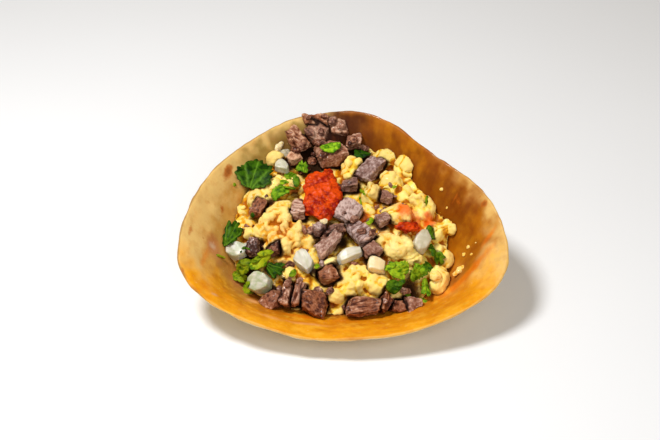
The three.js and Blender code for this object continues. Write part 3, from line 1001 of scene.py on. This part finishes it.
# The diced onion
onionSettings = {
    "voxel": 0.35,
    "smoothing": 9,
    "unevenSize": 6,
    "unevenHeight": 0.35,
    "firstSeed": 50,  # so that no onion shares the noise of a dice of beef
    "hollow": (6, 0.5),
    "grainShift": 17.0,
    "bumpDepth": 0.08,
    "shine": 0.4,
    "softLight": (0.7, (1.0, 1.0, 0.7), 3),
    # how green, creamy and grey each dice is
    "tints": {
        1: (0.6, 0.0, 0.2),
        2: (1.0, 0.0, 0.3),
        3: (0.1, 0.1, 0.5),
        4: (0, 0.15, 0.0),
        5: (0, 0.9, 0.0),
        6: (0.3, 0.2, 0.7),
        7: (0.3, 0.1, 0.5),
    },
}


def onionLook(settings):
    look = Look("wetOnion")
    green, cream, grey, hollow = look.values("green", "cream", "grey", "hollow")
    grain = look.value("grain", "Vector")
    vein = look.noise(1.3, 2, 0.5, place=look.stretched(grain, (0.14, 1.0, 1.0)))
    cloud = look.noise(5, 3, 0.55)
    edge = look.step(0 - hollow, 0.1, 0.8)
    colour = look.layers(
        look.mix(srgb(214, 211, 200), srgb(188, 189, 168), look.step(vein, 0.35, 0.7)),
        ((176, 162, 150), grey * look.step(cloud, 0.38, 0.62) * 0.75),
        ((138, 160, 100), green * look.step(cloud, 0.3, 0.65) * 0.8),
        ((196, 200, 110), green * edge * 0.6),
        ((238, 212, 156), cream * 0.9),
        # painted shade in the hollows
        ((170, 156, 110), look.step(hollow, 0.2, 1.0) * 0.5),
    )
    return look.finish(colour, 0.34 + 0.15 * (vein - 0.5), vein, 0.12, settings)


def shapeOnion(piece, settings, number, middle, axes):
    points = places(piece)
    seed = number + settings["firstSeed"]
    raiseSkin(piece, [
        seededNoise(point, settings["unevenSize"], seed) * settings["unevenHeight"] for point in points
    ])
    green, cream, grey = settings["tints"][number]
    keepSame(piece, green=green, cream=cream, grey=grey)
    keepValues(piece, "grain", (points - middle) @ axes.T + number * settings["grainShift"])


# The salsa
salsaSettings = {
    "numbers": (1, 2),
    "voxel": 0.4,
    "smoothing": 1,
    "warpSize": 3,
    "warpReach": 2.5,
    "chunkSize": 4.2,
    "chunkHeight": 1.1,
    "chunkLevel": 0.45,  # how far from a chunk's middle the skin stays where it is
    "pulpSize": 1.4,
    "pulpHeight": 0.6,
    "seed": 8,
    "hollow": (6, 0.5),
    "bumpDepth": 0.22,
    "shine": 0.16,
    "softLight": (0.06, (1.0, 0.2, 0.05), 1),
}


def salsaLook(settings):
    look = Look("wetSalsa")
    hollow = look.value("hollow")
    cloud = look.noise(4.5, 4, 0.6, warp=0.6)
    fine = look.noise(0.9, 3, 0.6)
    colour = look.layers(
        look.mix(srgb(140, 12, 0), srgb(218, 70, 0), look.step(cloud, 0.36, 0.6)),
        # painted highlight: small pale orange glints
        ((250, 140, 40), look.step(fine, 0.6, 0.72) * 0.5),
        # painted shade in the hollows
        ((116, 14, 0), look.step(hollow, 0.1, 1.0) * 0.75),
    )
    return look.finish(colour, 0.36 + 0.2 * (fine - 0.5), fine, 0.0, settings)


def shapeSalsa(piece, settings, *_):
    heights = []
    for point in places(piece):
        warp = noise.noise_vector(Vector(point) / settings["warpSize"]) * settings["warpReach"]
        near = noise.voronoi((Vector(point) + warp) / settings["chunkSize"])[0][0]
        pulp = seededNoise(point, settings["pulpSize"], settings["seed"]) * settings["pulpHeight"]
        heights.append((settings["chunkLevel"] - near) * settings["chunkHeight"] + pulp)
    raiseSkin(piece, heights)


# The cilantro
leafSettings = {
    "outlinePoints": 120,
    "insets": 8,
    "insetWidth": 0.11,
    "lobeSpread": 52,  # degrees between the tips of two lobes
    "footFrom": 80,  # degrees from the tip past which the outline draws in
    "footDepth": 0.35,
    "toothDepth": 0.16,
    "innerReach": 0.8,
    "veinFoot": (-0.75, 0),
    "veinReach": 0.9,
    "veinWidth": 0.05,
    "veinSink": 0.25,
    "thickness": 0.35,
    "crinkleSize": 4,
    "crinkleHeight": 1.0,
    "fineCrinkle": (1.6, 0.4),  # size, and height as a share of the crinkles'
    "hollow": (6, 0.3),
    "bumpDepth": 0.2,
    "shine": 0.08,
    "softLight": (0.12, (0.4, 1.0, 0.2), 0.8),
    # each leaf's turn in degrees, lobes, teeth, depth of the lobes, brightness
    "styles": {
        1: (80, 5, 19, 0.14, 0.05),
        2: (30, 3, 15, 0.3, 0.6),
        3: (100, 3, 13, 0.25, 0.6),
        4: (15, 1, 0, 0.0, 1.0),
        5: (0, 1, 6, 0.1, 0.0),
        6: (60, 3, 9, 0.3, 0.15),
        7: (190, 3, 17, 0.35, 1.0),
        8: (60, 3, 15, 0.3, 0.8),
        9: (-60, 3, 15, 0.3, 0.9),
        10: (-30, 3, 13, 0.3, 0.5),
        11: (0, 1, 0, 0.05, 0.25),
        12: (70, 3, 13, 0.25, 0.1),
        13: (-10, 3, 13, 0.3, 0.5),
        14: (30, 1, 8, 0.15, 1.0),
        15: (-40, 3, 13, 0.3, 0.05),
        16: (10, 1, 5, 0.1, 0.2),
    },
    # leaves that are more yellow than green
    "yellows": {13: 0.5, 14: 0.9, 16: 0.6, 7: 0.6},
}


def leafLook(settings):
    look = Look("cilantroLeaf")
    vein, bright, yellow, edge, hollow = look.values("vein", "bright", "yellow", "edge", "hollow")
    cloud = look.noise(2.6, 3, 0.55, warp=0.4)
    fine = look.noise(0.6, 3, 0.6)
    deep = look.mix(srgb(10, 40, 0), srgb(56, 108, 0), bright)
    fresh = look.mix(srgb(38, 80, 0), srgb(158, 200, 36), bright)
    colour = look.layers(
        # painted shade: the green darkens a little in the hollows
        look.mix(deep, fresh, look.step(cloud - hollow * 0.1, 0.36, 0.66)),
        ((166, 164, 12), yellow * look.step(cloud, 0.3, 0.6) * 0.85),
        ((118, 166, 44), vein * 0.55),
        ((8, 34, 2), look.step(edge, 0.84, 1.0) * 0.35),
        # painted shade in the hollows
        ((6, 24, 2), look.step(hollow, 0.4, 1.0) * 0.35),
    )
    return look.finish(colour, 0.5 + 0.2 * (fine - 0.5), fine * 0.3 - vein, 0.0, settings)


def lobeTips(settings, lobes):
    # where the tips of the lobes point, in degrees from the leaf's own tip
    return [(index - (lobes - 1) / 2) * settings["lobeSpread"] for index in range(lobes)]


def leafReach(settings, angle, lobes, teeth, depth):
    # how far the outline reaches at an angle from the leaf's tip, as a share of its half length
    degrees = (math.degrees(angle) + 180) % 360 - 180
    nearest = min(abs(degrees - tip) for tip in lobeTips(settings, lobes))
    lobe = 1 - depth * min(1, nearest / (settings["lobeSpread"] / 2)) ** 1.5
    behind = max(0, abs(degrees) - settings["footFrom"]) / (180 - settings["footFrom"])
    saw = abs((degrees * teeth / 360) % 1 - 0.5) * 2 if teeth else 0.5
    outline = lobe * (1 - settings["footDepth"] * behind ** 1.5)
    return outline - settings["toothDepth"] * saw * (1 - behind)


def leafBlade(settings, name, lobes, teeth, depth):
    # a flat leaf of half length 1 with its tip towards +X, with values for its veins and edge
    bpy.ops.mesh.primitive_circle_add(vertices=settings["outlinePoints"], radius=1, fill_type="NGON")
    blade = bpy.context.object
    blade.name = name
    bpy.ops.object.mode_set(mode="EDIT")
    bpy.ops.mesh.select_all(action="SELECT")
    for _ in range(settings["insets"]):
        bpy.ops.mesh.inset(thickness=settings["insetWidth"])
    bpy.ops.mesh.poke()
    bpy.ops.object.mode_set(mode="OBJECT")
    foot = Vector(settings["veinFoot"])
    core = settings["innerReach"]
    veins, edges = [], []
    for vertex in blade.data.vertices:
        x, y, _ = vertex.co
        share = math.hypot(x, y)
        angle = math.atan2(y, x)
        reach = core + (leafReach(settings, angle, lobes, teeth, depth) - core) * share ** 2
        vertex.co = Vector((math.cos(angle), math.sin(angle), 0)) * share * reach
        nearest = math.inf
        for tip in lobeTips(settings, lobes):
            way = math.radians(tip)
            line = Vector((math.cos(way), math.sin(way))) * settings["veinReach"] - foot
            here = vertex.co.xy - foot
            along = min(1, max(0, here.dot(line) / line.length_squared))
            nearest = min(nearest, (here - line * along).length)
        veins.append(math.exp(-((nearest / settings["veinWidth"]) ** 2)))
        edges.append(share)
    keepValues(blade, "vein", veins)
    keepValues(blade, "edge", edges)
    return blade


def quadraticTerms(x, y):
    return np.stack([np.ones_like(x), x, y, x * x, x * y, y * y], 1)


def bedOf(nodeName):
    # the curved middle sheet of a CAD leaf: its frame and the numbers of its quadratic surface
    points = places(nodes[nodeName])
    middle, axes = mainFrame(points)
    local = (points - middle) @ axes.T
    x, y, z = local.T
    sheet, *_ = np.linalg.lstsq(quadraticTerms(x, y), z, rcond=None)
    return middle, axes, sheet, local


def layLeaf(blade, nodeName, turn):
    middle, axes, sheet, local = bedOf(nodeName)
    heading = np.array([math.cos(math.radians(turn)), math.sin(math.radians(turn)), 0])
    way = np.array([heading @ axes[0], heading @ axes[1]])
    way /= np.linalg.norm(way)
    side = np.array([-way[1], way[0]])
    along, across = local[:, :2] @ way, local[:, :2] @ side
    halves = np.array([np.ptp(along), np.ptp(across)]) / 2
    centre = np.array([along.max() + along.min(), across.max() + across.min()]) / 2
    shape = np.array([vertex.co[:2] for vertex in blade.data.vertices])
    spans = np.ptp(shape, axis=0) / 2
    shape = (shape - (shape.max(0) + shape.min(0)) / 2) / spans * halves + centre
    flat = shape[:, :1] * way + shape[:, 1:] * side
    x, y = flat.T
    setPlaces(blade, middle + np.stack([x, y, quadraticTerms(x, y) @ sheet], 1) @ axes)


def crinkle(blade, settings, seed):
    # uneven heights all over the leaf, and furrows along its veins
    vein = np.empty(len(blade.data.vertices))
    blade.data.attributes["vein"].data.foreach_get("value", vein)
    fineSize, fineShare = settings["fineCrinkle"]
    points = places(blade)
    points[:, 2] += [
        settings["crinkleHeight"]
        * (seededNoise(point, settings["crinkleSize"], seed) + fineShare * seededNoise(point, fineSize, seed))
        for point in points
    ]
    points[:, 2] -= settings["veinSink"] * vein
    setPlaces(blade, points)


def makeLeaves(settings, material):
    made = []
    for number, (turn, lobes, teeth, depth, bright) in settings["styles"].items():
        node = f"cilantro_{number:02d}"
        blade = leafBlade(settings, f"cilantro_leaf_{number:02d}", lobes, teeth, depth)
        layLeaf(blade, node, turn)
        crinkle(blade, settings, number)
        keepHollows(blade, *settings["hollow"])
        useModifier(blade, "SOLIDIFY", thickness=settings["thickness"] * mm, offset=0.0)
        keepSame(blade, bright=bright, yellow=settings["yellows"].get(number, 0))
        finishPiece(blade, "cilantro", material, node)
        made.append(blade)
    tellFaces("cilantro", *made)
    return made


# The scraps, flecks and crumbs
bitSettings = {
    "seed": 5,
    "looseScraps": 70,
    "scrapReach": (4, 11),  # from the middle of a dice
    "scrapLength": (1.2, 3.2),
    "scrapSizes": ((0.5, 0.9), (0.4, 0.7)),  # width and thickness, as shares of the length
    "scrapTints": ((0.1, 0.9), (0.1, 0.8)),
    "jagNoise": (2.2, 0.9, 3),
    "lift": 0.25,  # how much of its thickness a bit's middle lies above what carries it
    "hollowRounds": 4,
    # each kind's look, tints, jaggedness, depth of hollows and values that are the same all over
    "kinds": {
        "beef_scraps": ("beef", ("red", "light"), 0.7, 0.3, {"ridge": 0, "contact": 0, "striped": 0}),
        "onion_scraps": ("onion", ("green", "cream", "grey"), 0.6, 0.4, {}),
        "cilantro_scraps": ("cilantro", ("bright", "yellow"), 0.5, 0.3, {"vein": 0, "edge": 0}),
        "egg_crumbs": ("egg", (), 0.6, 0.4, {"stain": 0, "soaked": 0, "deep": 0, "calm": 0}),
    },
    "grains": {"beef": (0.5, 1.0, 1.0), "onion": (1.0, 1.0, 1.0)},
    "paints": {"egg": (246, 204, 92)},
    # bits as x, y, long, wide, thick, turn in degrees and their tints
    "beef": [
        (10.9, 51.0, 5, 4, 3, 20, 0.5, 0.5),
        (-16.3, -3.0, 6, 4, 3, 60, 0.6, 0.7),
        (-25.9, -19.2, 5, 4, 3, 0, 0.5, 0.1),
        (30.2, -29.3, 6, 4, 3, 30, 0.5, 0.5),
        (-9.4, 60.0, 5, 3, 3, 0, 0.7, 0.3),
        (-5.2, 57.5, 6, 4, 3, 70, 0.4, 0.4),
        # these scraps in the back gap are tinted dark to stand in for its shade: beef, with painted shade
        (-19.5, 36.4, 7, 5, 3, 40, 0.7, 0.05),
        (-16.0, 41.0, 6, 4, 3, 110, 0.8, 0.15),
        (-10.8, 38.6, 6, 4, 3, 10, 0.6, 0.1),
        (-20.7, 46.7, 7, 4, 3, 60, 0.7, 0.2),
        (-24.5, 43.0, 6, 4, 3, -20, 0.8, 0.05),
        (-13.0, 47.5, 6, 4, 3, 150, 0.7, 0.2),
        (0.5, 50.5, 6, 4, 3, 20, 0.6, 0.3),
        (5.5, 50.0, 5, 4, 3, 100, 0.7, 0.4),
        (-1.5, 24.3, 6, 3, 2.5, 30, 0.5, 0.4),
        (14.3, -10.2, 6, 3, 2.5, 60, 0.5, 0.3),
        (5.8, -22.9, 5, 3, 2.5, 0, 0.8, 0.4),
        (-1.0, 55.0, 5, 4, 3, 30, 0.7, 0.6),
        (-17.2, 52.0, 6, 4, 3, -30, 0.4, 0.3),
        (-10.9, 47.4, 5, 4, 3, 10, 0.5, 0.2),
        (-15.9, 42.2, 5, 4, 3, 80, 0.4, 0.1),
        (-33.5, 31.5, 10, 2.6, 2, -50, 1.0, 0.6),
        (0.0, 13.0, 8, 3, 2.5, 50, 0.9, 0.3),
        (-12.3, -5.8, 5, 4, 3, 0, 0.1, 0.9),
        (4.9, -2.5, 5, 4, 3, 40, 0.5, 0.4),
        (-19.7, -5.8, 5, 3, 3, 120, 0.8, 0.5),
        (-1.5, -8.5, 6, 4, 3, 20, 0.3, 0.2),
        (-8.9, -10.2, 5, 4, 3, 70, 0.4, 0.1),
        (9.3, -10.2, 5, 3, 3, 0, 0.5, 0.4),
        (-26.7, -32.3, 5, 3, 3, 60, 0.6, 0.4),
        (-20.8, -31.8, 6, 3, 3, 80, 0.5, 0.7),
        (-12.1, -34.4, 5, 4, 3, 0, 0.6, 0.4),
        (-6.3, -36.2, 5, 3, 3, 40, 0.5, 0.3),
    ],
    "onion": [
        (-47.6, -6.3, 6, 5, 2.5, 30, 0.5, 0.1, 0.4),
        (-30.5, 46.2, 8, 6, 3, 20, 0.2, 0.2, 0.9),
        (-33.2, 47.4, 7, 3, 2.5, 60, 0.2, 0.9, 0.0),
        (-9.4, -3.5, 4, 3, 2, 10, 0.1, 0.8, 0.2),
    ],
    "cilantro": [
        (-26.5, 30.0, 8, 6, 1.2, 40, 0.5, 0.1),
        (13.9, 4.2, 9, 3, 0.9, 70, 0.9, 0.3),
        (10.1, 16.7, 9, 1.6, 1.2, 110, 0.7, 0.5),
        (41.9, 13.8, 8, 1.3, 0.9, 84, 0.4, 0.3),
        (-31.8, -18.6, 8, 4, 1.0, 20, 0.1, 0.0),
        (-46.6, -28.9, 4, 4, 0.8, 0, 0.4, 0.3),
        (-12.6, -24.4, 4, 4, 0.8, 30, 0.7, 0.4),
        (41.3, -16.3, 7, 5, 0.8, -40, 0.3, 0.0),
        (-60.6, -15.2, 6, 1.6, 1.4, 10, 0.4, 0.6),
        (-20.0, 12.0, 3, 2, 0.7, 50, 0.6, 0.2),
        (-45.0, 6.0, 3, 2, 0.7, 80, 0.2, 0.0),
        (26.0, 20.0, 2.5, 1.5, 0.6, 20, 0.6, 0.3),
        (-55.0, 22.0, 2.2, 1.8, 0.5, 0, 0.5, 0.4),
        (-48.5, -12.5, 3.0, 1.2, 0.6, 30, 0.1, 0.0),
        (-46.5, -14.0, 2.4, 1.0, 0.6, -40, 0.2, 0.0),
        (-50.0, -14.5, 1.8, 1.0, 0.6, 80, 0.2, 0.0),
        (11.5, 23.0, 7, 1.2, 0.9, 118, 0.5, 0.6),
        (9.0, 14.0, 6, 1.2, 0.9, 95, 0.6, 0.5),
        (30.2, -28.8, 9, 4, 1.0, 120, 0.3, 0.1),
        (35.2, -25.6, 8, 5, 1.0, 70, 0.5, 0.2),
        (38.2, -28.2, 7, 4, 1.0, 150, 0.8, 0.1),
        (27.7, -31.6, 6, 3, 1.0, 30, 0.2, 0.0),
        (44.0, -12.0, 8, 3, 1.0, 100, 0.2, 0.0),
        (-47.2, -25.0, 8, 5, 1.0, 30, 0.5, 0.7),
        (-37.8, -16.9, 8, 3, 1.0, 15, 0.6, 0.7),
        (-27.8, -20.8, 7, 4, 1.0, -30, 0.1, 0.0),
        (-24.3, -27.1, 5, 3, 1.0, 60, 0.5, 0.2),
        (-47.3, -17.0, 8, 4, 1.0, -10, 0.2, 0.4),
        (-26.8, 19.8, 8, 5, 1.0, 50, 0.6, 0.1),
        (26.0, -27.5, 9, 4, 1.0, 160, 0.9, 0.3),
        (22.5, -24.5, 7, 4, 1.0, 20, 0.7, 0.2),
        (34.0, -21.5, 7, 3, 1.0, 100, 0.4, 0.1),
        (-42.0, -18.0, 7, 4, 1.0, 40, 0.3, 0.3),
        (-23.9, 26.4, 7, 4, 1.0, 100, 0.3, 0.0),
        (-30.0, 26.0, 6, 3, 1.0, 20, 0.8, 0.2),
    ],
    "egg": [
        (45.4, -23.2, 6, 5, 4, 0),
        (57.6, -19.4, 8, 3.5, 2.4, 24),
        (49.5, 15.3, 2.2, 1.4, 1, -10),
        (52.0, 9.6, 1.4, 1.0, 0.7, 0),
        (61.6, -12.3, 1.8, 1.4, 0.9, 0),
        (59.9, -13.3, 2.2, 1.6, 1, 40),
        (62.9, -18.0, 1.6, 1.2, 0.8, 0),
        (65.0, -15.0, 1.2, 1.0, 0.7, 0),
        (54.7, -16.7, 2.0, 1.6, 0.8, 0),
        (38.7, 38.5, 2.0, 1.2, 1, 20),
        (-50.5, 14.0, 3, 2, 1.6, 60),
    ],
}


def dropBits(name, bits, tintNames, trees, jag, settings):
    # small pieces laid on what is under them and joined into one mesh
    made = []
    for x, y, long, wide, thick, turn, *tints in bits:
        met = firstBelow(trees, x + cupShift[0], y + cupShift[1])
        if met is None:
            continue
        point, normal, _ = met
        upright = (Vector(normal) + Vector((0, 0, 0.5))).normalized()
        tilt = Vector((0, 0, 1)).rotation_difference(upright)
        facing = (tilt @ Quaternion((0, 0, 1), math.radians(turn))).to_euler()
        place = (point + upright * thick * settings["lift"]) * mm
        bit = addLump(place, facing, 0.5, (long, wide, thick), 4)
        keepSame(bit, **dict(zip(tintNames, tints)))
        made.append(bit)
    selectOnly(*made)
    bpy.ops.object.join()
    piece = made[0]
    piece.name = name
    raiseSkin(piece, jag * unevenness(places(piece), *settings["jagNoise"]))
    return piece


def looseScraps(settings, beef, trees):
    # torn crumbs of beef that lie on the egg and the meat round the dice
    draw = random.Random(settings["seed"])
    scraps = []
    for _ in range(settings["looseScraps"]):
        middle = places(draw.choice(beef)).mean(0)
        angle = draw.uniform(0, 2 * math.pi)
        reach = draw.uniform(*settings["scrapReach"])
        x = middle[0] + reach * math.cos(angle) - cupShift[0]
        y = middle[1] + reach * math.sin(angle) - cupShift[1]
        met = firstBelow(trees, x + cupShift[0], y + cupShift[1])
        if met is None or not met[2].startswith(("scrambled_egg", "beef")):
            continue
        long = draw.uniform(*settings["scrapLength"])
        wide, thick = (long * draw.uniform(*share) for share in settings["scrapSizes"])
        turn = draw.uniform(0, 180)
        tints = [draw.uniform(*side) for side in settings["scrapTints"]]
        scraps.append((x, y, long, wide, thick, turn, *tints))
    return scraps


def makeBits(settings, finished, beef, looks):
    trees = {piece.name: treeOf(piece) for piece in finished}
    loose = {"beef": looseScraps(settings, beef, trees)}
    for name, (slotName, tintNames, jag, depth, same) in settings["kinds"].items():
        bits = settings[slotName] + loose.get(slotName, [])
        piece = dropBits(name, bits, tintNames, trees, jag, settings)
        if slotName in settings["grains"]:
            keepValues(piece, "grain", places(piece) * settings["grains"][slotName])
        keepSame(piece, **same)
        if slotName in settings["paints"]:
            paint = srgb(*settings["paints"][slotName])[:3]
            keepValues(piece, "paint", np.tile(paint, (len(piece.data.vertices), 1)))
        keepHollows(piece, settings["hollowRounds"], depth)
        finishPiece(piece, slotName, looks[slotName])
        tellFaces(name, piece)


looks = {
    "beef": beefLook(beefSettings),
    "onion": onionLook(onionSettings),
    "cilantro": leafLook(leafSettings),
}
makeView(cameraSettings)
makeStudio(lightSettings)
tortilla = makeTortilla(tortillaSettings)
egg = makeEgg(eggSettings)
beef = dressNodes("beef", "beef_dice", beefSettings["tones"], beefSettings, looks["beef"], shapeBeef)
onion = dressNodes("onion", "onion_dice", onionSettings["tints"], onionSettings, looks["onion"], shapeOnion)
salsaMaterial = salsaLook(salsaSettings)
salsa = dressNodes("salsa", "red_salsa", salsaSettings["numbers"], salsaSettings, salsaMaterial, shapeSalsa)
leaves = makeLeaves(leafSettings, looks["cilantro"])
looks["egg"] = egg.data.materials[0]
makeBits(bitSettings, [tortilla, egg, *beef, *onion, *salsa, *leaves], beef, looks)
